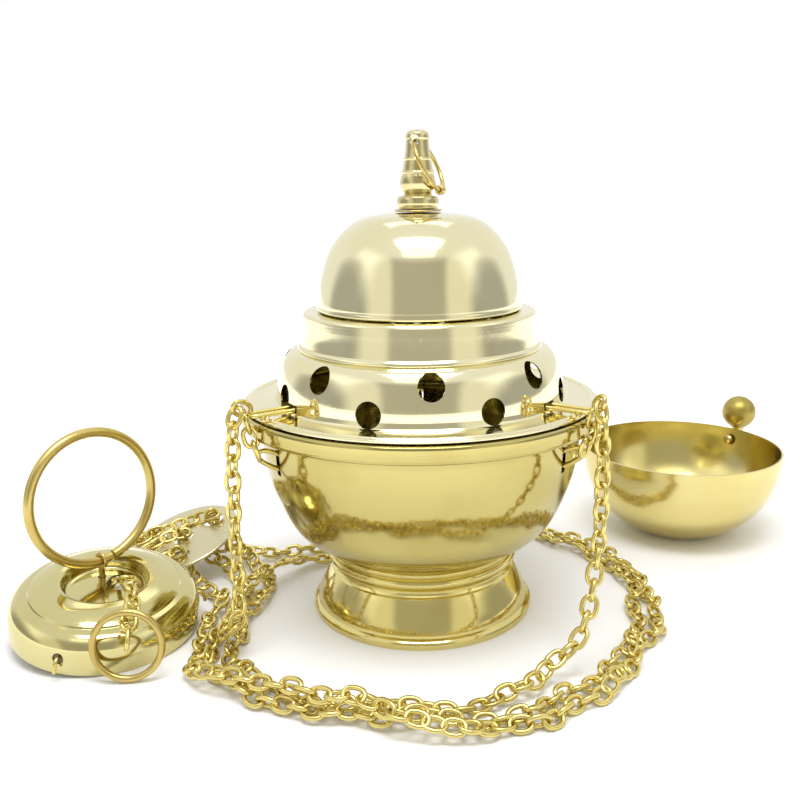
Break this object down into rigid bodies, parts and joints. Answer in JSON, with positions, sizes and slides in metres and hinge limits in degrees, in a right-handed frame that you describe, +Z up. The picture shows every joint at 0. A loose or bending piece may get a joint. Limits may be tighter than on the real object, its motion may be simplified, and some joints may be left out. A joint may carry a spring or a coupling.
{
  "type": "thurible censer",
  "caption": "Covered incense bowl on a foot, hung on chains from a hand cap with a finger ring, set out with a guide plate and a loose pan.",
  "frame": {"origin": "on the table, under the middle of the whole set without its chains", "axes": "+Z up, +X along the set from the hand cap to the pan, -Y towards the viewer"},
  "size_m": [0.3072, 0.2146, 0.1724],
  "materials": {
    "bowl_brass": "polished, warm, mirror bright",
    "lid_brass": "polished, pale gold, mirror bright",
    "ring_brass": "polished, deeper gold",
    "chain_brass": "drawn wire, bright, lightly rubbed",
    "pan_brass": "polished inside and out",
    "fixing_brass": "turned, satin"
  },
  "bodies": {
    "bowl": {"anchor_link_back": "chain_brass", "anchor_link_left": "chain_brass", "anchor_link_right": "chain_brass", "anchor_pin_back": "fixing_brass", "anchor_pin_left": "fixing_brass", "anchor_pin_right": "fixing_brass", "bowl": "bowl_brass", "chain_back": "chain_brass", "chain_back_tail": "chain_brass", "chain_left": "chain_brass", "chain_left_tail": "chain_brass", "chain_right": "chain_brass", "chain_right_tail": "chain_brass", "foot": "bowl_brass", "foot_bolt": "fixing_brass", "foot_nut": "fixing_brass", "foot_washer": "fixing_brass", "lid_chain": "chain_brass", "lid_chain_tail": "chain_brass"},
    "lid": {"lid_skirt": "lid_brass", "lid_collar": "lid_brass", "lid_dome": "lid_brass", "finial": "ring_brass", "finial_washer": "ring_brass", "finial_nut": "fixing_brass", "lid_guide_left": "chain_brass", "lid_guide_right": "chain_brass", "lid_guide_back": "chain_brass", "guide_pin_left": "fixing_brass", "guide_pin_right": "fixing_brass", "guide_pin_back": "fixing_brass"},
    "finial_ring": {"finial_ring": "ring_brass"},
    "pan": {"pan": "pan_brass", "pan_stem": "pan_brass", "pan_knob": "pan_brass", "pan_rivet": "fixing_brass"},
    "cap": {"cap": "lid_brass", "cap_eye": "ring_brass", "cap_eye_nut": "fixing_brass", "cap_hook_front": "chain_brass", "cap_hook_right": "chain_brass", "cap_hook_left": "chain_brass"},
    "finger_ring": {"finger_ring": "ring_brass"},
    "pull_ring": {"pull_ring": "ring_brass"},
    "guide_plate": {"guide_plate": "lid_brass"}
  },
  "joints": [
    {"name": "lid_lift", "type": "slide", "parent": "bowl", "child": "lid", "axis": [0, 0, 1], "range_m": [0, 0.06], "deforming": ["lid_chain"]},
    {"name": "finial_ring_swing", "type": "hinge", "parent": "lid", "child": "finial_ring", "pos_m": [-0.0087, -0.0242, 0.1689], "axis": [-0.309, -0.9511, 0], "range_deg": [0, 60]},
    {"name": "pan_lift", "type": "slide", "parent": "bowl", "child": "pan", "axis": [0, 0, 1], "range_m": [0, 0.08]},
    {"name": "cap_lift", "type": "slide", "parent": "bowl", "child": "cap", "axis": [0, 0, 1], "range_m": [0, 0.05]},
    {"name": "finger_ring_fall", "type": "hinge", "parent": "cap", "child": "finger_ring", "pos_m": [-0.12335, -0.04352, 0.02503], "axis": [0.6388, 0.7694, 0], "range_deg": [0, 75]},
    {"name": "pull_ring_swing", "type": "hinge", "parent": "cap", "child": "pull_ring", "pos_m": [-0.10335, -0.0797, 0.02297], "axis": [-0.9962, -0.0872, 0], "range_deg": [0, 80]},
    {"name": "guide_plate_slide", "type": "slide", "parent": "bowl", "child": "guide_plate", "axis": [-0.2609, -0.1874, 0.947], "range_m": [0, 0.012]}
  ]
}
